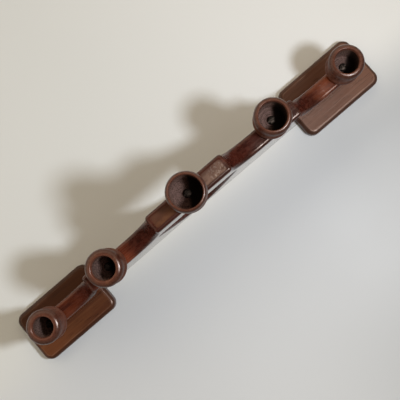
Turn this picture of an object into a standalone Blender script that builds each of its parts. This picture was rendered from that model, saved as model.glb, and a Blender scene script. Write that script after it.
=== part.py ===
"""Five-socket dip pen holder: a stepped board on two foot plates, with turned cups.

Metres, +Z up, +X along the row of sockets, the foot plates' underside at Z = 0.
"""
import math

import bmesh
import bpy

# Clearance between neighbouring solids
GAP = 0.0003

# Foot plates
PLATE_INNER_X = 0.114
PLATE_OUTER_X = 0.195
PLATE_WIDTH = 0.0505
PLATE_T = 0.0095
PLATE_CORNER_R = 0.008
PLATE_EDGE_R = 0.0038
PLATE_BOTTOM_EDGE_R = 0.0006

# Stepped board
BOARD_T = 0.015
BOARD_EDGE_R = 0.0028
BOARD_BASE_Z = PLATE_T + GAP
TOP_LEVEL_Z = 0.121
MID_LEVEL_Z = 0.0845
LOW_LEVEL_Z = 0.044
TOP_LEVEL_X = 0.0355
MID_LEVEL_X = 0.106
LOW_LEVEL_X = 0.171
STEP_CORNER_R = 0.003
UPPER_COVE_R = 0.0325
LOWER_COVE_R = 0.034
LEG_INNER_X = 0.122
ARCH_CROWN_Z = 0.018

# Hand hole under the top level
HOLE_HALF_X = 0.0375
HOLE_TOP_Z = 0.089
HOLE_SIDE_Z = 0.0825
HOLE_BOTTOM_Z = 0.034
HOLE_CORNER_R = 0.005

# Turned cups
CUP_H = 0.024
LIP_R = 0.0144
LIP_HALF_H = 0.0045
LIP_INNER_H = 0.0033
LIP_CREST = 0.22
SOCKET_TAPER = 0.0004
WAIST_R = 0.0126
RING_R = 0.0142
RING_Z = 0.0036
FLOOR_T = 0.0045
CUP_STEPS = 32

# Screw in each socket floor, pan head
PAN_HEAD_R = 0.0032
PAN_HEAD_H = 0.0019
PAN_SHAFT_R = 0.00175
PAN_SHAFT_L = 0.022
PAN_SLOT_W = 0.0009
PAN_SLOT_DEPTH = 0.0009

# Screws up through the foot plates, countersunk head
FOOT_SCREW_X = (0.130, 0.150)
FLAT_HEAD_R = 0.0038
FLAT_HEAD_H = 0.0022
FLAT_SHAFT_R = 0.0020
FLAT_SHAFT_L = 0.026
FLAT_RECESS = 0.0008
FLAT_SLOT_W = 0.0010
FLAT_SLOT_DEPTH = 0.0010
SCREW_STEPS = 20

# Each cup: label, seat position x and y, level it stands on, radius of its mouth
CUPS = (
    ("outer_left", -0.1585, -0.0010, LOW_LEVEL_Z, 0.0083),
    ("inner_left", -0.0825, 0.0, MID_LEVEL_Z, 0.0088),
    ("centre", 0.0, 0.0, TOP_LEVEL_Z, 0.0114),
    ("inner_right", 0.0832, 0.0038, MID_LEVEL_Z, 0.0105),
    ("outer_right", 0.1630, 0.0020, LOW_LEVEL_Z, 0.0095),
)
SIDES = (("left", -1.0), ("right", 1.0))


def clear_scene():
    """Remove every object that the file starts with."""
    for obj in list(bpy.data.objects):
        bpy.data.objects.remove(obj, do_unlink=True)


def new_collection(name):
    """Add a collection to the scene."""
    collection = bpy.data.collections.new(name)
    bpy.context.scene.collection.children.link(collection)
    return collection


def add_material(obj, color, roughness, metallic=0.0):
    """Give an object its own Principled material."""
    mat = bpy.data.materials.new(obj.name + "_material")
    mat.use_nodes = True
    shader = mat.node_tree.nodes["Principled BSDF"]
    shader.inputs["Base Color"].default_value = (*color, 1.0)
    shader.inputs["Roughness"].default_value = roughness
    shader.inputs["Metallic"].default_value = metallic
    obj.data.materials.append(mat)


def ellipse_arc(cx, cz, rx, rz, start, end, count):
    """Points on an elliptical arc, angles in degrees from +X towards +Z."""
    points = []
    for i in range(count + 1):
        a = math.radians(start + (end - start) * i / count)
        points.append((cx + rx * math.cos(a), cz + rz * math.sin(a)))
    return points


def rounded_polygon(corners):
    """Outline through (x, z, radius) corners, each one filleted to its radius."""
    points = []
    count = len(corners)
    for i, (x, z, radius) in enumerate(corners):
        if radius == 0.0:
            points.append((x, z))
            continue
        ax, az = corners[i - 1][0] - x, corners[i - 1][1] - z
        bx, bz = corners[(i + 1) % count][0] - x, corners[(i + 1) % count][1] - z
        la, lb = math.hypot(ax, az), math.hypot(bx, bz)
        ax, az, bx, bz = ax / la, az / la, bx / lb, bz / lb
        half = 0.5 * math.acos(ax * bx + az * bz)
        lm = math.hypot(ax + bx, az + bz)
        reach = radius / math.sin(half)
        cx, cz = x + reach * (ax + bx) / lm, z + reach * (az + bz) / lm
        tangent = radius / math.tan(half)
        start = math.atan2(z + az * tangent - cz, x + ax * tangent - cx)
        end = math.atan2(z + bz * tangent - cz, x + bx * tangent - cx)
        sweep = (end - start + math.pi) % (2.0 * math.pi) - math.pi
        segments = 4 + round(radius / 0.003)
        for k in range(segments + 1):
            a = start + sweep * k / segments
            points.append((cx + radius * math.cos(a), cz + radius * math.sin(a)))
    return points


def turned(name, profile, steps, closed, collection):
    """Turn a profile of (radius, z) points about Z."""
    mesh = bpy.data.meshes.new(name)
    edges = [(i, i + 1) for i in range(len(profile) - 1)]
    if closed:
        edges.append((len(profile) - 1, 0))
    mesh.from_pydata([(r, 0.0, z) for r, z in profile], edges, [])
    obj = bpy.data.objects.new(name, mesh)
    collection.objects.link(obj)
    screw = obj.modifiers.new("Turn", "SCREW")
    screw.steps = steps
    screw.render_steps = steps
    screw.use_merge_vertices = True
    screw.merge_threshold = 0.00002
    screw.use_smooth_shade = True
    return obj


def cutter_cylinder(name, radius, z_low, z_high, x, y):
    """Round cutter standing at (x, y) between two heights."""
    mesh = bpy.data.meshes.new(name)
    bm = bmesh.new()
    bmesh.ops.create_cone(bm, cap_ends=True, segments=SCREW_STEPS, radius1=radius, radius2=radius,
                          depth=z_high - z_low)
    bmesh.ops.translate(bm, verts=bm.verts, vec=(x, y, 0.5 * (z_low + z_high)))
    bm.to_mesh(mesh)
    bm.free()
    return cutter_object(name, mesh)


def cutter_box(name, size, centre):
    """Box cutter of a size about a centre."""
    mesh = bpy.data.meshes.new(name)
    bm = bmesh.new()
    bmesh.ops.create_cube(bm, size=1.0)
    bmesh.ops.scale(bm, verts=bm.verts, vec=size)
    bmesh.ops.translate(bm, verts=bm.verts, vec=centre)
    bm.to_mesh(mesh)
    bm.free()
    return cutter_object(name, mesh)


def cutter_object(name, mesh):
    """Wrap a cutter's mesh in a hidden object."""
    obj = bpy.data.objects.new(name, mesh)
    cutters.objects.link(obj)
    obj.hide_render = True
    obj.display_type = "WIRE"
    return obj


def cut(obj, tool):
    """Subtract a cutter from an object."""
    boolean = obj.modifiers.new("Cut " + tool.name, "BOOLEAN")
    boolean.operation = "DIFFERENCE"
    boolean.solver = "EXACT"
    boolean.object = tool


def smooth(obj, degrees=35.0):
    """Shade a mesh smooth, with its sharp edges kept."""
    obj.data.shade_smooth()
    obj.data.set_sharp_from_angle(angle=math.radians(degrees))


def arch_height(x):
    """Height of the board's underside between its legs."""
    rise = ARCH_CROWN_Z - BOARD_BASE_Z
    radius = (LEG_INNER_X ** 2 + rise ** 2) / (2.0 * rise)
    return ARCH_CROWN_Z - radius + math.sqrt(radius ** 2 - x ** 2)


def board_outline():
    """Outer outline of the stepped board, clockwise from its upper right."""
    below = BOARD_BASE_Z - 2.0 * BOARD_EDGE_R
    right = [
        (TOP_LEVEL_X, TOP_LEVEL_Z, STEP_CORNER_R),
        (TOP_LEVEL_X, MID_LEVEL_Z, UPPER_COVE_R),
        (MID_LEVEL_X, MID_LEVEL_Z, STEP_CORNER_R),
        (MID_LEVEL_X, LOW_LEVEL_Z, LOWER_COVE_R),
        (LOW_LEVEL_X, LOW_LEVEL_Z, STEP_CORNER_R),
        (LOW_LEVEL_X, below, 0.0),
        (LEG_INNER_X, below, 0.0),
    ]
    left = [(-x, z, r) for x, z, r in reversed(right)]
    steps = 24
    arch = []
    for i in range(steps + 1):
        x = LEG_INNER_X * (1.0 - 2.0 * i / steps)
        arch.append((x, arch_height(x), 0.0))
    return rounded_polygon(right + arch + left)


def hole_outline():
    """Hand hole: flat top, rounded corners and a bowl that follows a parabola."""
    steps = 20
    corners = [(HOLE_HALF_X, HOLE_TOP_Z, HOLE_CORNER_R)]
    for i in range(steps + 1):
        t = 1.0 - 2.0 * i / steps
        z = HOLE_BOTTOM_Z + (HOLE_SIDE_Z - HOLE_BOTTOM_Z) * t * t
        corners.append((HOLE_HALF_X * t, z, 0.0))
    corners.append((-HOLE_HALF_X, HOLE_TOP_Z, HOLE_CORNER_R))
    return rounded_polygon(corners)


def make_board():
    """Stepped board with eased edges and a hand hole, flat where it meets the feet."""
    curve = bpy.data.curves.new("stepped_board_outline", "CURVE")
    curve.dimensions = "2D"
    curve.fill_mode = "BOTH"
    curve.extrude = 0.5 * BOARD_T - BOARD_EDGE_R
    curve.bevel_depth = BOARD_EDGE_R
    curve.bevel_resolution = 2
    curve.offset = -BOARD_EDGE_R
    for outline in (board_outline(), hole_outline()):
        spline = curve.splines.new("POLY")
        spline.points.add(len(outline) - 1)
        for point, (x, z) in zip(spline.points, outline):
            point.co = (x, z, 0.0, 1.0)
        spline.use_cyclic_u = True
    source = bpy.data.objects.new("stepped_board_outline", curve)
    parts.objects.link(source)
    mesh = bpy.data.meshes.new_from_object(source)
    bpy.data.objects.remove(source, do_unlink=True)
    mesh.name = "stepped_board"
    bm = bmesh.new()
    bm.from_mesh(mesh)
    bmesh.ops.remove_doubles(bm, verts=bm.verts, dist=0.00001)
    for vert in bm.verts:
        x, z, y = vert.co
        vert.co = (x, -y, z)
    bmesh.ops.recalc_face_normals(bm, faces=bm.faces)
    bm.to_mesh(mesh)
    bm.free()
    obj = bpy.data.objects.new("stepped_board", mesh)
    parts.objects.link(obj)
    foot_cut_h = 0.02
    cut(obj, cutter_box("board_foot_cutter", (0.5, 0.1, foot_cut_h),
                        (0.0, 0.0, BOARD_BASE_Z - 0.5 * foot_cut_h)))
    hole_r = PAN_SHAFT_R + GAP
    for label, x, y, level, _ in CUPS:
        tip = level + FLOOR_T + 2.0 * GAP - PAN_SHAFT_L
        name = "cup_pilot_" + label
        cut(obj, cutter_cylinder(name, hole_r, tip - GAP, level + 0.004, x, y))
    tip = FLAT_RECESS + FLAT_HEAD_H + FLAT_SHAFT_L
    for side, sign in SIDES:
        for i, x in enumerate(FOOT_SCREW_X, 1):
            name = "foot_pilot_%s_%d" % (side, i)
            cut(obj, cutter_cylinder(name, FLAT_SHAFT_R + GAP, 0.004, tip + GAP, sign * x, 0.0))
    smooth(obj)
    add_material(obj, (0.060, 0.020, 0.012), 0.22)
    return obj


def make_foot_plate(side, sign):
    """Rounded plate with eased edges and two countersunk screw holes."""
    name = "foot_plate_" + side
    x0, x1 = sorted((sign * PLATE_INNER_X, sign * PLATE_OUTER_X))
    half = 0.5 * PLATE_WIDTH
    corners = [(x1, half), (x0, half), (x0, -half), (x1, -half)]
    outline = rounded_polygon([(x, y, PLATE_CORNER_R) for x, y in corners])
    mesh = bpy.data.meshes.new(name)
    bm = bmesh.new()
    weight = bm.edges.layers.float.new("bevel_weight_edge")
    face = bm.faces.new([bm.verts.new((x, y, 0.0)) for x, y in outline])
    for edge in face.edges:
        edge[weight] = PLATE_BOTTOM_EDGE_R / PLATE_EDGE_R
    top = bmesh.ops.extrude_face_region(bm, geom=[face])["geom"]
    raised = [item for item in top if isinstance(item, bmesh.types.BMVert)]
    bmesh.ops.translate(bm, verts=raised, vec=(0.0, 0.0, PLATE_T))
    for edge in bm.edges:
        if all(vert.co.z > 0.5 * PLATE_T for vert in edge.verts):
            edge[weight] = 1.0
    bmesh.ops.recalc_face_normals(bm, faces=bm.faces)
    bm.to_mesh(mesh)
    bm.free()
    obj = bpy.data.objects.new(name, mesh)
    parts.objects.link(obj)
    bevel = obj.modifiers.new("Eased edges", "BEVEL")
    bevel.limit_method = "WEIGHT"
    bevel.width = PLATE_EDGE_R
    bevel.segments = 4
    for i, x in enumerate(FOOT_SCREW_X, 1):
        profile = [
            (0.0, PLATE_T + 0.002),
            (FLAT_SHAFT_R + GAP, PLATE_T + 0.002),
            (FLAT_SHAFT_R + GAP, FLAT_RECESS + FLAT_HEAD_H + GAP),
            (FLAT_HEAD_R + GAP, FLAT_RECESS + GAP),
            (FLAT_HEAD_R + GAP, -0.001),
            (0.0, -0.001),
        ]
        tool = turned("%s_sink_%d" % (name, i), profile, SCREW_STEPS, False, cutters)
        tool.location.x = sign * x
        tool.hide_render = True
        tool.display_type = "WIRE"
        cut(obj, tool)
    smooth(obj)
    add_material(obj, (0.085, 0.030, 0.015), 0.24)
    return obj


def cup_profile(mouth_r):
    """Section of a cup: round lip, groove, waist and foot ring around a round socket."""
    lip_z = CUP_H - LIP_HALF_H
    crest_r = mouth_r + LIP_CREST * (LIP_R - mouth_r)
    floor_r = mouth_r - SOCKET_TAPER
    profile = []
    profile += ellipse_arc(crest_r, lip_z, LIP_R - crest_r, LIP_HALF_H, 90, 0, 6)
    profile += ellipse_arc(0.0128, lip_z, LIP_R - 0.0128, 0.0024, -30, -90, 2)
    profile += [(0.0125, lip_z - 0.0028), (0.0129, lip_z - 0.0032)]
    profile += [(WAIST_R, 0.0110), (0.0129, 0.0068)]
    profile += ellipse_arc(0.0127, RING_Z, RING_R - 0.0127, 0.0026, 60, -60, 3)
    profile += [(0.0130, 0.0), (PAN_SHAFT_R + GAP, 0.0), (PAN_SHAFT_R + GAP, FLOOR_T)]
    profile += ellipse_arc(floor_r - 0.0015, FLOOR_T + 0.0015, 0.0015, 0.0015, -90, 0, 2)
    inner_z = CUP_H - LIP_INNER_H
    profile += ellipse_arc(crest_r, inner_z, crest_r - mouth_r, LIP_INNER_H, 180, 105, 5)
    return profile


def make_cup(label, x, y, level, mouth_r):
    """Turned cup standing on one level of the board."""
    obj = turned("cup_" + label, cup_profile(mouth_r), CUP_STEPS, True, parts)
    obj.location = (x, y, level + GAP)
    smooth(obj)
    add_material(obj, (0.075, 0.024, 0.013), 0.20)
    return obj


def make_cup_screw(label, x, y, level):
    """Slotted pan-head screw that holds a cup to the board."""
    head = ellipse_arc(0.0, 0.0006, PAN_HEAD_R, PAN_HEAD_H - 0.0006, 90, 0, 5)
    shaft = [
        (PAN_HEAD_R, 0.0),
        (PAN_SHAFT_R, 0.0),
        (PAN_SHAFT_R, -PAN_SHAFT_L + 0.004),
        (0.0, -PAN_SHAFT_L),
    ]
    name = "cup_screw_" + label
    obj = turned(name, head + shaft, SCREW_STEPS, False, parts)
    under_head = level + 2.0 * GAP + FLOOR_T
    obj.location = (x, y, under_head)
    slot = cutter_box(name + "_slot", (4.0 * PAN_HEAD_R, PAN_SLOT_W, 2.0 * PAN_SLOT_DEPTH),
                      (x, y, under_head + PAN_HEAD_H))
    cut(obj, slot)
    smooth(obj)
    add_material(obj, (0.32, 0.31, 0.30), 0.35, 1.0)
    return obj


def make_foot_screw(side, sign, index, x):
    """Countersunk screw up through a foot plate into the board's leg."""
    name = "foot_screw_%s_%d" % (side, index)
    profile = [
        (0.0, FLAT_HEAD_H + FLAT_SHAFT_L),
        (FLAT_SHAFT_R, FLAT_HEAD_H + FLAT_SHAFT_L - 0.004),
        (FLAT_SHAFT_R, FLAT_HEAD_H),
        (FLAT_HEAD_R, 0.0003),
        (FLAT_HEAD_R, 0.0),
        (0.0, 0.0),
    ]
    obj = turned(name, profile, SCREW_STEPS, False, parts)
    obj.location = (sign * x, 0.0, FLAT_RECESS)
    slot = cutter_box(name + "_slot", (4.0 * FLAT_HEAD_R, FLAT_SLOT_W, 2.0 * FLAT_SLOT_DEPTH),
                      (sign * x, 0.0, FLAT_RECESS))
    cut(obj, slot)
    smooth(obj)
    add_material(obj, (0.30, 0.29, 0.28), 0.38, 1.0)
    return obj


clear_scene()
parts = new_collection("dip_pen_holder")
cutters = new_collection("cutters")
make_board()
for side, sign in SIDES:
    make_foot_plate(side, sign)
    for index, screw_x in enumerate(FOOT_SCREW_X, 1):
        make_foot_screw(side, sign, index, screw_x)
for label, cup_x, cup_y, level, mouth in CUPS:
    make_cup(label, cup_x, cup_y, level, mouth)
    make_cup_screw(label, cup_x, cup_y, level)
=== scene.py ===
"""Looks for the dip pen holder: dark lacquered wood, five turned cups, on a pale table.

Metres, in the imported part's own frame: +Z up, +X along the row of sockets.
"""

import math

import bmesh
import bpy
from mathutils import Matrix, Vector


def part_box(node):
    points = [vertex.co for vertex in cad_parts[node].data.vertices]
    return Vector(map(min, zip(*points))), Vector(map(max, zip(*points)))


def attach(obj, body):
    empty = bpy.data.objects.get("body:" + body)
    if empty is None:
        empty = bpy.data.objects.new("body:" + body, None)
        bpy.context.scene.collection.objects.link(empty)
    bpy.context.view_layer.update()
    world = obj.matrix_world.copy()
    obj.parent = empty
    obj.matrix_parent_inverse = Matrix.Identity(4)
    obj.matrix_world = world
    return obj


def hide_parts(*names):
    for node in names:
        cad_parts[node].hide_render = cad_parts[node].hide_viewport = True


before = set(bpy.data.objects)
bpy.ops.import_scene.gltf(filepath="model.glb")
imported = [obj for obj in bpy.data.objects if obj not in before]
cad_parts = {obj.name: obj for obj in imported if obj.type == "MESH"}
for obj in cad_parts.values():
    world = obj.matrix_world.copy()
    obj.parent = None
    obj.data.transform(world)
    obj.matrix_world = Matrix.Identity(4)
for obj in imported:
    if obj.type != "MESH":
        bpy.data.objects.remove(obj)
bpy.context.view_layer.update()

# Board outline, the same driving sizes as the part's
BOARD_EDGE_R = 0.0028
TOP_LEVEL_X = 0.0355
MID_LEVEL_X = 0.106
MID_LEVEL_Z = 0.0845
LOW_LEVEL_Z = 0.044
STEP_CORNER_R = 0.003
UPPER_COVE_R = 0.0325
LOWER_COVE_R = 0.034
LEG_INNER_X = 0.122
ARCH_CROWN_Z = 0.018
HOLE_HALF_X = 0.0375
HOLE_TOP_Z = 0.089
HOLE_SIDE_Z = 0.0825
HOLE_BOTTOM_Z = 0.034
HOLE_CORNER_R = 0.005
ARCH_STEPS = 24
HOLE_STEPS = 28
CORNER_CHORD = 0.0009
WELD = 0.00001

# Worn flat of the board's top level
FLAT_HALF_X = 0.0308
FLAT_HALF_Y = 0.0032

# Foot plates
PLATE_CORNER_R = 0.008
PLATE_MIN_CORNER_R = 0.0012
PLATE_EDGE_R = 0.0038
PLATE_BOTTOM_EDGE_R = 0.0006
PLATE_EDGE_STEPS = 10
PLATE_CORNER_STEPS = 14
LIGHT_LINE_W = 0.0003
LIGHT_LINE_FADE_W = 0.0012

# Countersunk holes in the foot plates
SCREW_HOLE_R = 0.0023
SINK_R = 0.0041
SINK_TOP_Z = 0.0033
SINK_BOTTOM_Z = 0.0011
DRILL_ABOVE = 0.002
DRILL_BELOW = 0.001

# Cups; depths in the groove are taken from the middle of the lip
LIP_HALF_H = 0.0045
LIP_INNER_H = 0.0033
LIP_CREST = 0.22
LIP_UNDER_R = 0.0128
LIP_UNDER_H = 0.0024
GROOVE = ((0.0125, 0.0027), (0.01245, 0.0031), (0.0129, 0.0034))
WAIST_R = 0.0126
WAIST_BOW = 0.0004
WAIST_DEPTH = 0.0038
WAIST_FOOT_Z = 0.0070
RING_Z = 0.0036
RING_R = 0.0127
RING_BULGE = 0.0015
RING_HALF_H = 0.0026
CUP_FOOT_R = 0.0130
FLOOR_T = 0.0045
FLOOR_HOLE_R = 0.0021
FLOOR_RINGS = (0.0040, 0.0060)
FLOOR_CORNER_R = 0.0015
SOCKET_TAPER = 0.0004
SOCKET_STEPS = 8
CUP_STEPS = 112
MOUTH_R = {
    "outer_left": 0.0083,
    "inner_left": 0.0088,
    "centre": 0.0114,
    "inner_right": 0.0105,
    "outer_right": 0.0095,
}
CUP_LOOKS = {
    "outer_left": ((0.130, 0.055, 0.036), 0.55),
    "inner_left": ((0.165, 0.066, 0.032), 0.62),
    "centre": ((0.130, 0.060, 0.045), 0.74),
    "inner_right": ((0.135, 0.062, 0.046), 0.74),
    "outer_right": ((0.135, 0.062, 0.046), 0.80),
}

# Lamps, camera and table
KEY_PLACE = (0.184, -0.179, 0.4725)
LAMP_AIM = (0.0, 0.0, 0.05)
KEY_SIZE = 0.07
KEY_POWER = 6.3
GLOW_SIZE = 0.30
GLOW_POWER = 11.0
CAMERA_PLACE = (0.007616, -0.034343, 0.529364)
CAMERA_RIGHT = (0.759040, -0.649252, -0.048272)
CAMERA_DOWN = (-0.650965, -0.758015, -0.040718)
CAMERA_AHEAD = (-0.010155, 0.062330, -0.998004)
LENS_MM = 52.49
SENSOR_MM = 36.0
TABLE_SIZE = 40.0


# ---------------------------------------------------------------- outlines

def arc(cx, cz, rx, rz, start, end, count):
    """Points on an elliptical arc, angles in degrees."""
    points = []
    for i in range(count + 1):
        a = math.radians(start + (end - start) * i / count)
        points.append((cx + rx * math.cos(a), cz + rz * math.sin(a)))
    return points


def rounded_polygon(corners):
    """Outline through (x, z, radius) corners, each one filleted to its radius."""
    points = []
    count = len(corners)
    for i, (x, z, radius) in enumerate(corners):
        if radius == 0.0:
            points.append((x, z))
            continue
        a = Vector(corners[i - 1][:2]) - Vector((x, z))
        b = Vector(corners[(i + 1) % count][:2]) - Vector((x, z))
        a.normalize()
        b.normalize()
        half = 0.5 * math.acos(max(-1.0, min(1.0, a.dot(b))))
        centre = Vector((x, z)) + (a + b).normalized() * (radius / math.sin(half))
        tangent = radius / math.tan(half)
        first = Vector((x, z)) + a * tangent - centre
        last = Vector((x, z)) + b * tangent - centre
        start = math.atan2(first.y, first.x)
        sweep = (math.atan2(last.y, last.x) - start + math.pi) % (2.0 * math.pi) - math.pi
        segments = 8 + round(radius / CORNER_CHORD)
        for k in range(segments + 1):
            t = start + sweep * k / segments
            points.append((centre.x + radius * math.cos(t), centre.y + radius * math.sin(t)))
    return points


# ---------------------------------------------------------------- mesh pieces

def piece_from(name, bm, slot_name, material, *nodes):
    """Turn a bmesh into a shown piece that stands for CAD nodes."""
    mesh = bpy.data.meshes.new(name)
    bm.normal_update()
    bm.to_mesh(mesh)
    bm.free()
    mesh.shade_smooth()
    obj = bpy.data.objects.new(name, mesh)
    bpy.context.scene.collection.objects.link(obj)
    mesh.materials.append(material)
    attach(obj, "root")
    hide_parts(*nodes)
    return obj


def weight_normals(obj):
    """Let the broad flat faces set the normals along their eased edges."""
    normals = obj.modifiers.new("Normals", "WEIGHTED_NORMAL")
    normals.weight = 80
    normals.keep_sharp = True


def make_board(material):
    """Stepped board: outline and hand hole with a finely rounded edge."""
    low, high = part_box("stepped_board")
    top_z = high.z
    base_z = low.z
    half_t = 0.5 * (high.y - low.y)
    end_x = high.x
    below = base_z - 2.0 * BOARD_EDGE_R
    right = [
        (TOP_LEVEL_X, top_z, STEP_CORNER_R),
        (TOP_LEVEL_X, MID_LEVEL_Z, UPPER_COVE_R),
        (MID_LEVEL_X, MID_LEVEL_Z, STEP_CORNER_R),
        (MID_LEVEL_X, LOW_LEVEL_Z, LOWER_COVE_R),
        (end_x, LOW_LEVEL_Z, STEP_CORNER_R),
        (end_x, below, 0.0),
        (LEG_INNER_X, below, 0.0),
    ]
    left = [(-x, z, r) for x, z, r in reversed(right)]
    rise = ARCH_CROWN_Z - base_z
    radius = (LEG_INNER_X ** 2 + rise ** 2) / (2.0 * rise)
    arch = []
    for i in range(2 * ARCH_STEPS + 1):
        x = LEG_INNER_X * (1.0 - i / ARCH_STEPS)
        arch.append((x, ARCH_CROWN_Z - radius + math.sqrt(radius ** 2 - x ** 2), 0.0))
    hole = [(HOLE_HALF_X, HOLE_TOP_Z, HOLE_CORNER_R)]
    for i in range(2 * HOLE_STEPS + 1):
        t = 1.0 - i / HOLE_STEPS
        hole.append((HOLE_HALF_X * t, HOLE_BOTTOM_Z + (HOLE_SIDE_Z - HOLE_BOTTOM_Z) * t * t, 0.0))
    hole.append((-HOLE_HALF_X, HOLE_TOP_Z, HOLE_CORNER_R))

    curve = bpy.data.curves.new("board_outline", "CURVE")
    curve.dimensions = "2D"
    curve.fill_mode = "BOTH"
    curve.extrude = half_t - BOARD_EDGE_R
    curve.bevel_depth = BOARD_EDGE_R
    curve.bevel_resolution = 5
    curve.offset = -BOARD_EDGE_R
    for corners in (right + arch + left, hole):
        outline = rounded_polygon(corners)
        spline = curve.splines.new("POLY")
        spline.points.add(len(outline) - 1)
        for point, (x, z) in zip(spline.points, outline):
            point.co = (x, z, 0.0, 1.0)
        spline.use_cyclic_u = True
    source = bpy.data.objects.new("board_outline", curve)
    bpy.context.scene.collection.objects.link(source)
    mesh = bpy.data.meshes.new_from_object(source)
    bpy.data.objects.remove(source, do_unlink=True)
    bm = bmesh.new()
    bm.from_mesh(mesh)
    bpy.data.meshes.remove(mesh)
    bmesh.ops.remove_doubles(bm, verts=bm.verts, dist=WELD)
    for vert in bm.verts:
        x, z, y = vert.co
        vert.co = (x, -y, z)
    everything = list(bm.verts) + list(bm.edges) + list(bm.faces)
    cut = bmesh.ops.bisect_plane(bm, geom=everything, plane_co=(0.0, 0.0, base_z),
                                 plane_no=(0.0, 0.0, -1.0), clear_outer=True)
    rim = [item for item in cut["geom_cut"] if isinstance(item, bmesh.types.BMEdge)]
    bmesh.ops.holes_fill(bm, edges=rim, sides=0)
    bmesh.ops.recalc_face_normals(bm, faces=bm.faces)
    obj = piece_from("board_lacquered", bm, "board_wood", material, "stepped_board")
    weight_normals(obj)


def make_plate(side, material):
    """Foot plate: rings of its outline, drawn in and up round the eased edges."""
    node = "foot_plate_" + side
    low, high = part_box(node)
    cx, cy = 0.5 * (low.x + high.x), 0.5 * (low.y + high.y)
    hx, hy = 0.5 * (high.x - low.x), 0.5 * (high.y - low.y)
    rings = [(PLATE_BOTTOM_EDGE_R, low.z, 0.0)]
    rings += [(PLATE_BOTTOM_EDGE_R * (1.0 - math.cos(math.radians(a))),
               low.z + PLATE_BOTTOM_EDGE_R * (1.0 - math.sin(math.radians(a))), 0.0)
              for a in (60, 30, 0)]
    for i in range(PLATE_EDGE_STEPS + 1):
        a = math.radians(90.0 * i / PLATE_EDGE_STEPS)
        rings.append((PLATE_EDGE_R * (1.0 - math.cos(a)),
                      high.z - PLATE_EDGE_R * (1.0 - math.sin(a)), i / PLATE_EDGE_STEPS))
    # Rings that place the painted highlight line on the flat, just inside the eased edge.
    rings.append((PLATE_EDGE_R + LIGHT_LINE_W, high.z, 0.9))
    rings.append((PLATE_EDGE_R + LIGHT_LINE_FADE_W, high.z, 0.0))
    bm = bmesh.new()
    edge_layer = bm.verts.layers.float.new("edge")
    loops = []
    for inset, z, wear_and_painted_light in rings:
        x, y = hx - inset, hy - inset
        r = max(PLATE_CORNER_R - inset, PLATE_MIN_CORNER_R)
        outline = []
        for sx, sy, start in ((1, 1, 0), (-1, 1, 90), (-1, -1, 180), (1, -1, 270)):
            outline += arc(cx + sx * (x - r), cy + sy * (y - r), r, r, start, start + 90,
                           PLATE_CORNER_STEPS)
        loop = []
        for px, py in outline:
            vert = bm.verts.new((px, py, z))
            vert[edge_layer] = wear_and_painted_light
            loop.append(vert)
        loops.append(loop)
    for below, above in zip(loops, loops[1:]):
        for i in range(len(below)):
            j = (i + 1) % len(below)
            bm.faces.new((below[i], below[j], above[j], above[i]))
    bm.faces.new(loops[-1])
    bm.faces.new(list(reversed(loops[0])))
    bmesh.ops.recalc_face_normals(bm, faces=bm.faces)
    obj = piece_from("foot_plate_%s_lacquered" % side, bm, "foot_wood", material, node)
    for node_name in ("foot_screw_%s_1" % side, "foot_screw_%s_2" % side):
        screw_low, screw_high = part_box(node_name)
        x = 0.5 * (screw_low.x + screw_high.x)
        drill(obj, x, cy, high.z)
    weight_normals(obj)


def drill(obj, x, y, top_z):
    """Countersunk hole up through a foot plate."""
    profile = [(0.0, top_z + DRILL_ABOVE), (SCREW_HOLE_R, top_z + DRILL_ABOVE),
               (SCREW_HOLE_R, SINK_TOP_Z), (SINK_R, SINK_BOTTOM_Z),
               (SINK_R, -DRILL_BELOW), (0.0, -DRILL_BELOW)]
    bm = bmesh.new()
    verts = [bm.verts.new((r, 0.0, z)) for r, z in profile]
    edges = [bm.edges.new(pair) for pair in zip(verts, verts[1:])]
    bmesh.ops.spin(bm, geom=verts + edges, cent=(0, 0, 0), axis=(0, 0, 1),
                   angle=2.0 * math.pi, steps=40)
    bmesh.ops.remove_doubles(bm, verts=bm.verts, dist=WELD)
    bmesh.ops.recalc_face_normals(bm, faces=bm.faces)
    bmesh.ops.translate(bm, verts=bm.verts, vec=(x, y, 0.0))
    mesh = bpy.data.meshes.new("drill")
    bm.to_mesh(mesh)
    bm.free()
    tool = bpy.data.objects.new("drill", mesh)
    bpy.context.scene.collection.objects.link(tool)
    boolean = obj.modifiers.new("Hole", "BOOLEAN")
    boolean.operation = "DIFFERENCE"
    boolean.solver = "EXACT"
    boolean.object = tool
    apply_modifiers(obj)
    bpy.data.objects.remove(tool, do_unlink=True)


def apply_modifiers(obj):
    """Make an object's modified mesh its own."""
    evaluated = obj.evaluated_get(bpy.context.evaluated_depsgraph_get())
    made = bpy.data.meshes.new_from_object(evaluated)
    obj.modifiers.clear()
    obj.data = made


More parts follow.
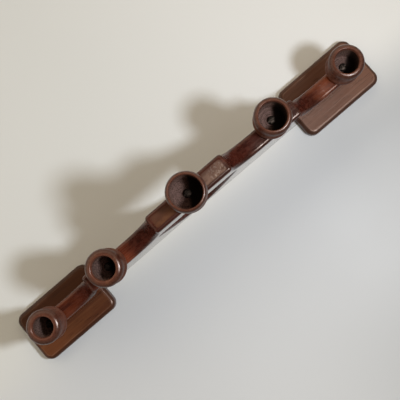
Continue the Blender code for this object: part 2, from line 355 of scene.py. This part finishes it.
def make_cup(label, material):
    """Turned cup with a bead lip, a grooved waist, a foot ring and a round socket."""
    node = "cup_" + label
    low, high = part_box(node)
    lip_r = 0.5 * (high.x - low.x)
    cup_h = high.z - low.z
    mouth = MOUTH_R[label]
    lip_z = cup_h - LIP_HALF_H
    crest = mouth + LIP_CREST * (lip_r - mouth)
    floor_r = mouth - SOCKET_TAPER
    outside = arc(crest, lip_z, lip_r - crest, LIP_HALF_H, 90, 0, 12)
    outside += arc(LIP_UNDER_R, lip_z, lip_r - LIP_UNDER_R, LIP_UNDER_H, -15, -90, 7)
    outside += [(r, lip_z - depth) for r, depth in GROOVE]
    for i in range(9):
        t = i / 8.0
        z = (lip_z - WAIST_DEPTH) * (1.0 - t) + WAIST_FOOT_Z * t
        bow = WAIST_BOW * (2.0 * t - 1.0) ** 2
        outside.append((WAIST_R + bow, z))
    outside += arc(RING_R, RING_Z, RING_BULGE, RING_HALF_H, 62, -62, 9)
    outside += [(CUP_FOOT_R, 0.0), (FLOOR_HOLE_R, 0.0)]
    socket = [(FLOOR_HOLE_R, FLOOR_T)] + [(r, FLOOR_T) for r in FLOOR_RINGS]
    wall_z = FLOOR_T + FLOOR_CORNER_R
    socket += arc(floor_r - FLOOR_CORNER_R, wall_z, FLOOR_CORNER_R, FLOOR_CORNER_R, -90, 0, 5)
    inner_z = cup_h - LIP_INNER_H
    section = [(p, 0.0) for p in outside] + [(p, 1.0) for p in socket]
    for i in range(1, SOCKET_STEPS):
        t = i / SOCKET_STEPS
        z = wall_z * (1.0 - t) + inner_z * t
        section.append(((floor_r + SOCKET_TAPER * t, z), 1.0))
    rim = arc(crest, inner_z, crest - mouth, LIP_INNER_H, 180, 95, 9)
    section += [(p, max(0.0, 1.0 - i / 3.0)) for i, p in enumerate(rim)]
    bm = bmesh.new()
    inside = bm.verts.layers.float.new("inside")
    centre = Vector((0.5 * (low.x + high.x), 0.5 * (low.y + high.y), low.z))
    rings = []
    for s in range(CUP_STEPS):
        a = 2.0 * math.pi * s / CUP_STEPS
        ring = []
        for (r, z), mark in section:
            vert = bm.verts.new(centre + Vector((r * math.cos(a), r * math.sin(a), z)))
            vert[inside] = mark
            ring.append(vert)
        rings.append(ring)
    count = len(section)
    for s in range(CUP_STEPS):
        here, after = rings[s], rings[(s + 1) % CUP_STEPS]
        for i in range(count):
            j = (i + 1) % count
            bm.faces.new((here[i], after[i], after[j], here[j]))
    bmesh.ops.recalc_face_normals(bm, faces=bm.faces)
    obj = piece_from("cup_%s_turned" % label, bm, "cup_wood", material, node)
    obj.data.set_sharp_from_angle(angle=math.radians(50.0))


# ---------------------------------------------------------------- materials

class Graph:
    """A material's node graph, built from its object coordinates."""

    def __init__(self, name):
        self.mat = bpy.data.materials.new(name)
        self.mat.use_nodes = True
        self.tree = self.mat.node_tree
        self.shader = self.tree.nodes["Principled BSDF"]
        self.coords = self.tree.nodes.new("ShaderNodeTexCoord").outputs["Object"]

    def node(self, kind, inputs, output=0, **props):
        made = self.tree.nodes.new(kind)
        for key, value in props.items():
            setattr(made, key, value)
        for key, value in inputs.items():
            if isinstance(value, bpy.types.NodeSocket):
                self.tree.links.new(value, made.inputs[key])
            else:
                made.inputs[key].default_value = value
        return made.outputs[output]

    def scaled(self, scale, vector=None):
        return self.node("ShaderNodeMapping",
                         {"Vector": vector or self.coords, "Scale": scale})

    def noise(self, vector, scale=1.0, detail=3.0, rough=0.5, bend=0.0):
        return self.node("ShaderNodeTexNoise", {"Vector": vector, "Scale": scale,
                         "Detail": detail, "Roughness": rough, "Distortion": bend})

    def math(self, operation, a, b=0.0, c=0.0):
        return self.node("ShaderNodeMath", {0: a, 1: b, 2: c}, operation=operation)

    def span(self, value, low, high, to_low=0.0, to_high=1.0):
        return self.node("ShaderNodeMapRange", {"Value": value, "From Min": low,
                         "From Max": high, "To Min": to_low, "To Max": to_high},
                         interpolation_type="SMOOTHSTEP")

    def mix(self, factor, a, b, blend="MIX"):
        return self.node("ShaderNodeMix", {0: factor, 6: a, 7: b}, 2,
                         data_type="RGBA", blend_type=blend)

    def attribute(self, name):
        return self.node("ShaderNodeAttribute", {}, "Fac", attribute_name=name)

    def axes(self):
        split = self.tree.nodes.new("ShaderNodeSeparateXYZ")
        self.tree.links.new(self.coords, split.inputs[0])
        return split.outputs[0], split.outputs[1], split.outputs[2]

    def bump(self, height, distance, strength=1.0):
        normal = self.node("ShaderNodeBump", {"Height": height, "Distance": distance,
                           "Strength": strength})
        self.tree.links.new(normal, self.shader.inputs["Normal"])

    def wire(self, name, value):
        self.tree.links.new(value, self.shader.inputs[name])

    def set(self, **values):
        for name, value in values.items():
            self.shader.inputs[name.replace("_", " ")].default_value = value


def rgb(r, g, b):
    return (r, g, b, 1.0)


def wood_base(graph, along, dark, middle, light, streaky):
    """Stained grain: broad bands, fine streaks and pores; returns colour, streaks and pores."""
    coarse = [90.0, 90.0, 90.0]
    fine = [420.0, 420.0, 420.0]
    pore = [1500.0, 1500.0, 1500.0]
    coarse[along], fine[along], pore[along] = 9.0, 14.0, 70.0
    bands = graph.noise(graph.scaled(coarse), detail=3.0, rough=0.55, bend=0.6)
    streaks = graph.noise(graph.scaled(fine), detail=4.0, rough=0.6)
    pores = graph.span(graph.noise(graph.scaled(pore), detail=1.0), 0.60, 0.72)
    colour = graph.mix(graph.span(bands, 0.35, 0.66), dark, middle)
    colour = graph.mix(graph.span(streaks, 0.46, 0.72, 0.0, streaky), colour, light)
    colour = graph.mix(graph.math("MULTIPLY", pores, 0.6), colour, rgb(0.012, 0.005, 0.004))
    return colour, streaks, pores


def board_material():
    """Dark red stained wood, paler with wear on the top level, warmer beside the cups.

    The top level's darker far side is painted shade, set by position to match the photo.
    """
    graph = Graph("board_lacquer")
    x, y, z = graph.axes()
    colour, streaks, pores = wood_base(graph, 0, rgb(0.030, 0.006, 0.004), rgb(0.062, 0.013, 0.008),
                                       rgb(0.100, 0.024, 0.014), 0.7)
    away = graph.math("ABSOLUTE", x)
    patches = graph.noise(graph.scaled((60.0, 160.0, 90.0)), detail=3.0)
    low_warm = graph.math("MULTIPLY", graph.span(away, 0.112, 0.148),
                          graph.span(patches, 0.38, 0.60, 0.15, 0.80))
    low_warm = graph.math("MULTIPLY", low_warm, graph.span(x, -0.05, 0.05, 0.60, 1.0))
    left_mid = graph.math("MULTIPLY", graph.span(x, -0.056, -0.068), graph.span(z, 0.080, 0.084))
    left_mid = graph.math("MULTIPLY", left_mid, graph.span(x, -0.103, -0.096))
    mid_warm = graph.math("MULTIPLY", left_mid, graph.span(patches, 0.38, 0.60, 0.35, 0.8))
    colour = graph.mix(low_warm, colour, rgb(0.185, 0.040, 0.012))
    colour = graph.mix(mid_warm, colour, rgb(0.230, 0.048, 0.018))
    rubbed = graph.noise(graph.scaled((150.0, 320.0, 150.0)), detail=4.0, rough=0.65)
    speckle = graph.noise(graph.scaled((620.0, 620.0, 620.0)), detail=2.0)
    out_x = graph.math("MAXIMUM", graph.math("SUBTRACT", away, FLAT_HALF_X), 0.0)
    out_y = graph.math("MAXIMUM",
                       graph.math("SUBTRACT", graph.math("ABSOLUTE", y), FLAT_HALF_Y), 0.0)
    reach = graph.math("SQRT", graph.math("ADD", graph.math("MULTIPLY", out_x, out_x),
                                          graph.math("MULTIPLY", out_y, out_y)))
    flat = graph.math("MULTIPLY", graph.span(reach, 0.0020, 0.0006), graph.span(z, 0.112, 0.118))
    wear_and_painted_light = graph.mix(graph.span(x, -0.016, 0.022), rgb(0.130, 0.047, 0.018), rgb(0.235, 0.135, 0.095))
    stains = graph.noise(graph.scaled((130.0, 260.0, 130.0)), detail=4.0, rough=0.6)
    wear_and_painted_light = graph.mix(graph.span(stains, 0.42, 0.62, 0.0, 0.55), wear_and_painted_light, rgb(0.070, 0.024, 0.012))
    bare = graph.math("MULTIPLY", graph.span(speckle, 0.50, 0.62), graph.span(x, 0.017, 0.022))
    wear_and_painted_light = graph.mix(graph.math("MULTIPLY", bare, 0.7), wear_and_painted_light, rgb(0.42, 0.32, 0.27))
    # Painted shade: the top level darker towards its far side.
    wear_and_painted_light = graph.mix(graph.span(y, -0.0045, 0.0045, 0.0, 0.60), wear_and_painted_light, rgb(0.060, 0.022, 0.014))
    top = graph.math("MULTIPLY", flat, graph.span(rubbed, 0.30, 0.60, 0.55, 1.0))
    colour = graph.mix(top, colour, wear_and_painted_light)
    graph.wire("Base Color", colour)
    side = graph.span(graph.math("ABSOLUTE", y), 0.0068, 0.0074)
    rough = graph.math("ADD", graph.span(streaks, 0.3, 0.7, 0.22, 0.32),
                       graph.math("MULTIPLY", top, 0.14))
    graph.wire("Roughness", graph.math("SUBTRACT", rough, graph.math("MULTIPLY", side, 0.18)))
    height = graph.math("SUBTRACT", streaks, graph.math("MULTIPLY", pores, 0.7))
    calm = graph.math("MAXIMUM", side, graph.span(away, 0.1495, 0.1503))
    height = graph.math("MULTIPLY", height, graph.math("SUBTRACT", 1.0, graph.math("MULTIPLY", calm, 0.75)))
    graph.bump(height, 0.00008, 0.4)
    graph.set(Coat_Weight=0.06, Coat_Roughness=0.10, Specular_IOR_Level=0.38,
              Specular_Tint=rgb(1.0, 0.82, 0.72))
    return graph.mat


def plate_material(side):
    """Stained plate with a painted highlight line, partly wear, along its eased edges.

    Its darker far side is painted shade from the board, set by position to match the photo.
    """
    graph = Graph("foot_lacquer_" + side)
    # Per side: grain tones, strength of the painted far-side shade, strength of the painted edge highlight.
    tones = {"left": ((0.100, 0.031, 0.014), (0.132, 0.043, 0.017), (0.180, 0.066, 0.025), 0.62, 0.2),
             "right": ((0.128, 0.053, 0.032), (0.168, 0.078, 0.051), (0.200, 0.102, 0.070), 0.16, 0.4)}
    dark, middle, light, far, edge_highlight = tones[side]
    colour, streaks, pores = wood_base(graph, 0, rgb(*dark), rgb(*middle), rgb(*light), 0.45)
    wear_and_painted_light = graph.noise(graph.scaled((120.0, 120.0, 120.0)), detail=4.0, rough=0.6)
    _, y, z = graph.axes()
    edge = graph.attribute("edge")
    # Painted shade: darker towards the far side, where the board's shadow falls.
    colour = graph.mix(graph.span(y, -0.004, 0.008, 0.0, far), colour, rgb(0.048, 0.022, 0.014))
    # Painted highlight, partly wear: a pale broken line along the top of the eased edge.
    line = graph.math("MULTIPLY", graph.span(edge, 0.88, 1.0), graph.span(wear_and_painted_light, 0.35, 0.62, 0.1 * edge_highlight, edge_highlight))
    # Painted shade: the eased edge below the flat and the sides darkened.
    shade = graph.math("MULTIPLY", graph.span(edge, 0.97, 0.75), graph.span(z, 0.00949, 0.0094))
    colour = graph.mix(graph.math("MULTIPLY", shade, 0.65), colour, rgb(0.024, 0.008, 0.005))
    colour = graph.mix(line, colour, rgb(0.36, 0.23, 0.17))
    graph.wire("Base Color", colour)
    graph.wire("Roughness", graph.span(streaks, 0.3, 0.7, 0.28, 0.42))
    height = graph.math("SUBTRACT", streaks, graph.math("MULTIPLY", pores, 0.7))
    graph.bump(height, 0.00010, 0.5)
    graph.set(Coat_Weight=0.06, Coat_Roughness=0.12, Specular_IOR_Level=0.25,
              Specular_Tint=rgb(1.0, 0.74, 0.62))
    return graph.mat


def cup_material(label, tint, paleness):
    """Turned wood: glossy outside, dry and tool-marked inside.

    The lip's painted shade outward and painted highlight near the mouth, and the socket's painted shade
    on the lamp's side and near its top, are set by position, to match the photo, so they stay put when
    the light changes.
    """
    graph = Graph("cup_lacquer_" + label)
    low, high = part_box("cup_" + label)
    centre = 0.5 * (low + high)
    mouth = MOUTH_R[label]
    lip_r = 0.5 * (high.x - low.x)
    colour, streaks, _ = wood_base(graph, 2, rgb(0.078, 0.024, 0.014),
                                   rgb(0.112, 0.037, 0.022), tint, 0.6)
    inside = graph.attribute("inside")
    x, y, z = graph.axes()
    off_x = graph.math("SUBTRACT", x, centre.x)
    off_y = graph.math("SUBTRACT", y, centre.y)
    radial = graph.math("SQRT", graph.math("ADD", graph.math("MULTIPLY", off_x, off_x),
                                           graph.math("MULTIPLY", off_y, off_y)))
    across = graph.span(radial, mouth, lip_r)
    lip = graph.span(z, high.z - LIP_HALF_H - 0.0005, high.z - LIP_HALF_H + 0.0010)
    # Painted shade: the lip darker towards its outer edge.
    lip_shade = graph.math("MULTIPLY", graph.span(across, 0.30, 0.85, 0.0, 0.55), lip)
    colour = graph.mix(lip_shade, colour, rgb(0.038, 0.012, 0.008))
    # Painted highlight: the lip paler towards the mouth.
    bright = graph.math("MULTIPLY", graph.span(across, 0.45, 0.05, 0.0, 0.40), lip)
    colour = graph.mix(bright, colour, rgb(0.185, 0.070, 0.044))
    lit = Vector((centre.x - KEY_PLACE[0] - 0.10, centre.y - KEY_PLACE[1])).normalized()
    aside = graph.math("ADD", graph.math("MULTIPLY", off_x, lit.x),
                       graph.math("MULTIPLY", off_y, lit.y))
    hatch = graph.noise(graph.scaled((1150.0, 1150.0, 480.0)), detail=3.0, rough=0.6)
    rings = graph.noise(graph.node("ShaderNodeCombineXYZ", {0: graph.math("MULTIPLY", radial, 2400.0),
                        1: 0.0, 2: graph.math("MULTIPLY", z, 2400.0)}), detail=2.0)
    marked = graph.span(graph.math("ADD", hatch, rings), 0.78, 1.20)
    dry = graph.mix(marked, rgb(0.120 * paleness, 0.066 * paleness, 0.054 * paleness),
                    rgb(0.420 * paleness, 0.250 * paleness, 0.205 * paleness))
    floor_z = low.z + FLOOR_T
    # Painted shade: the socket's half on the lamp's side darkened, and the floor a little.
    lit_half = graph.math("MULTIPLY", graph.span(aside, -0.0028, 0.0014),
                          graph.span(z, floor_z, floor_z + FLOOR_CORNER_R, 0.85, 1.0))
    dry = graph.mix(lit_half, rgb(0.012, 0.007, 0.006), dry)
    # Painted shade: the socket wall darker towards its top.
    shade = graph.math("MULTIPLY", graph.span(z, high.z - 0.0100, high.z - 0.0035, 0.0, 0.55), inside)
    dry = graph.mix(shade, dry, rgb(0.030, 0.014, 0.010))
    colour = graph.mix(graph.span(inside, 0.2, 0.8), colour, dry)
    graph.wire("Base Color", colour)
    rough = graph.math("ADD", graph.span(streaks, 0.3, 0.7, 0.25, 0.33),
                       graph.math("MULTIPLY", inside, 0.45))
    sides = graph.span(z, high.z - 0.5 * LIP_HALF_H, high.z - LIP_HALF_H)
    graph.wire("Roughness", graph.math("ADD", rough, graph.math("MULTIPLY", sides, 0.26)))
    polish = graph.math("MULTIPLY", graph.span(inside, 0.6, 0.0, 0.0, 0.42),
                        graph.span(sides, 1.0, 0.0, 0.2, 1.0))
    graph.wire("Coat Weight", polish)
    marks = graph.math("MULTIPLY", graph.math("ADD", rings, hatch), graph.math("MULTIPLY", inside, 1.5))
    height = graph.math("ADD", graph.math("MULTIPLY", streaks, 0.15), marks)
    graph.bump(height, 0.00010, 0.5)
    graph.set(Coat_Roughness=0.17, Specular_IOR_Level=0.18,
              Specular_Tint=rgb(1.0, 0.74, 0.62))
    return graph.mat


def steel_material():
    """Dull grey steel with tarnish."""
    graph = Graph("screw_steel")
    spots = graph.noise(graph.scaled((900.0, 900.0, 900.0)), detail=4.0)
    colour = graph.mix(graph.span(spots, 0.38, 0.62), rgb(0.020, 0.015, 0.012), rgb(0.060, 0.048, 0.040))
    graph.wire("Base Color", colour)
    graph.wire("Roughness", graph.span(spots, 0.3, 0.7, 0.42, 0.62))
    graph.bump(graph.noise(graph.scaled((2500.0, 300.0, 2500.0)), detail=2.0), 0.00003, 0.5)
    graph.set(Metallic=1.0)
    return graph.mat


def table_material():
    """Pale table top with a faint sheen; its tone changes across it as in the photo, as painted light and
    shade.
    """
    graph = Graph("table_top")
    x, y, _ = graph.axes()
    tone = graph.noise(graph.scaled((5.0, 5.0, 5.0)), detail=3.0)
    # Painted light and shade: the near side darker, most to the right, the far side paler.
    near = graph.mix(graph.span(x, -0.08, 0.14), rgb(0.655, 0.66, 0.675), rgb(0.465, 0.475, 0.49))
    far = graph.mix(graph.span(x, -0.05, 0.22), rgb(0.715, 0.71, 0.69), rgb(0.80, 0.79, 0.775))
    colour = graph.mix(graph.span(y, -0.060, 0.012), near, far)
    colour = graph.mix(graph.span(tone, 0.3, 0.7, 0.0, 0.06), colour, rgb(0.50, 0.50, 0.50))
    graph.wire("Base Color", colour)
    graph.wire("Roughness", graph.span(tone, 0.3, 0.7, 0.42, 0.48))
    graph.set(Specular_IOR_Level=0.35)
    return graph.mat


# ---------------------------------------------------------------- scene

def make_table(material):
    """Pale table under the holder."""
    bm = bmesh.new()
    bmesh.ops.create_grid(bm, x_segments=2, y_segments=2, size=TABLE_SIZE)
    mesh = bpy.data.meshes.new("table_top")
    bm.to_mesh(mesh)
    bm.free()
    mesh.materials.append(material)
    floor = bpy.data.objects.new("table_top", mesh)
    bpy.context.scene.collection.objects.link(floor)


def area_light(name, location, target, size, power, colour):
    """Round soft light aimed at a point, equally strong at any distance."""
    data = bpy.data.lights.new(name, "AREA")
    data.shape = "DISK"
    data.size = size
    data.energy = power
    data.color = colour
    lamp = bpy.data.objects.new(name, data)
    bpy.context.scene.collection.objects.link(lamp)
    lamp.location = location
    aim = Vector(target) - Vector(location)
    lamp.rotation_mode = "QUATERNION"
    lamp.rotation_quaternion = aim.to_track_quat("-Z", "Y")
    data.use_nodes = True
    tree = data.node_tree
    falloff = tree.nodes.new("ShaderNodeLightFalloff")
    falloff.inputs["Strength"].default_value = 1.0
    tree.links.new(falloff.outputs["Constant"], tree.nodes["Emission"].inputs["Strength"])
    return lamp


def make_world():
    """Soft warm surroundings: brightest low on the far side, dim straight overhead."""
    world = bpy.data.worlds.new("studio")
    bpy.context.scene.world = world
    world.use_nodes = True
    tree = world.node_tree
    background = tree.nodes["Background"]
    coords = tree.nodes.new("ShaderNodeTexCoord")
    split = tree.nodes.new("ShaderNodeSeparateXYZ")
    ramp = tree.nodes.new("ShaderNodeValToRGB")
    tree.links.new(coords.outputs["Generated"], split.inputs[0])
    tree.links.new(split.outputs[2], ramp.inputs[0])
    stops = ((0.0, 0.25), (0.15, 0.45), (0.35, 1.00), (0.66, 1.00), (0.84, 0.25), (1.0, 0.06))
    while len(ramp.color_ramp.elements) < len(stops):
        ramp.color_ramp.elements.new(0.5)
    for element, (place, level) in zip(ramp.color_ramp.elements, stops):
        element.position = place
        element.color = (level, 0.885 * level, 0.70 * level, 1.0)
    side = tree.nodes.new("ShaderNodeMapRange")
    side.interpolation_type = "SMOOTHSTEP"
    tree.links.new(split.outputs[1], side.inputs["Value"])
    for name, value in (("From Min", -0.7), ("From Max", 0.8), ("To Min", 0.30), ("To Max", 1.48)):
        side.inputs[name].default_value = value
    tree.links.new(ramp.outputs[0], background.inputs[0])
    tree.links.new(side.outputs[0], background.inputs[1])


def make_camera():
    """Camera almost straight overhead, with the holder's length on the diagonal."""
    data = bpy.data.cameras.new("camera")
    data.lens = LENS_MM
    data.sensor_width = SENSOR_MM
    camera = bpy.data.objects.new("camera", data)
    bpy.context.scene.collection.objects.link(camera)
    rotation = Matrix((Vector(CAMERA_RIGHT), -Vector(CAMERA_DOWN), -Vector(CAMERA_AHEAD)))
    rotation.transpose()
    camera.matrix_world = Matrix.Translation(CAMERA_PLACE) @ rotation.to_4x4()
    bpy.context.scene.camera = camera


make_board(board_material())
for side in ("left", "right"):
    make_plate(side, plate_material(side))
for label, (tint, paleness) in CUP_LOOKS.items():
    make_cup(label, cup_material(label, rgb(*tint), paleness))
steel = steel_material()
for name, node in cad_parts.items():
    if "screw" in name:
        node.material_slots[0].material = steel
make_table(table_material())
area_light("key", KEY_PLACE, LAMP_AIM, KEY_SIZE, KEY_POWER, (0.86, 0.93, 1.0))
# The glow shows only in reflections, for the crescents on the lips
glow = area_light("glow", KEY_PLACE, LAMP_AIM, GLOW_SIZE, GLOW_POWER, (1.0, 0.93, 0.90))
glow.visible_diffuse = False
make_world()
make_camera()
bpy.context.scene.view_settings.view_transform = "Standard"
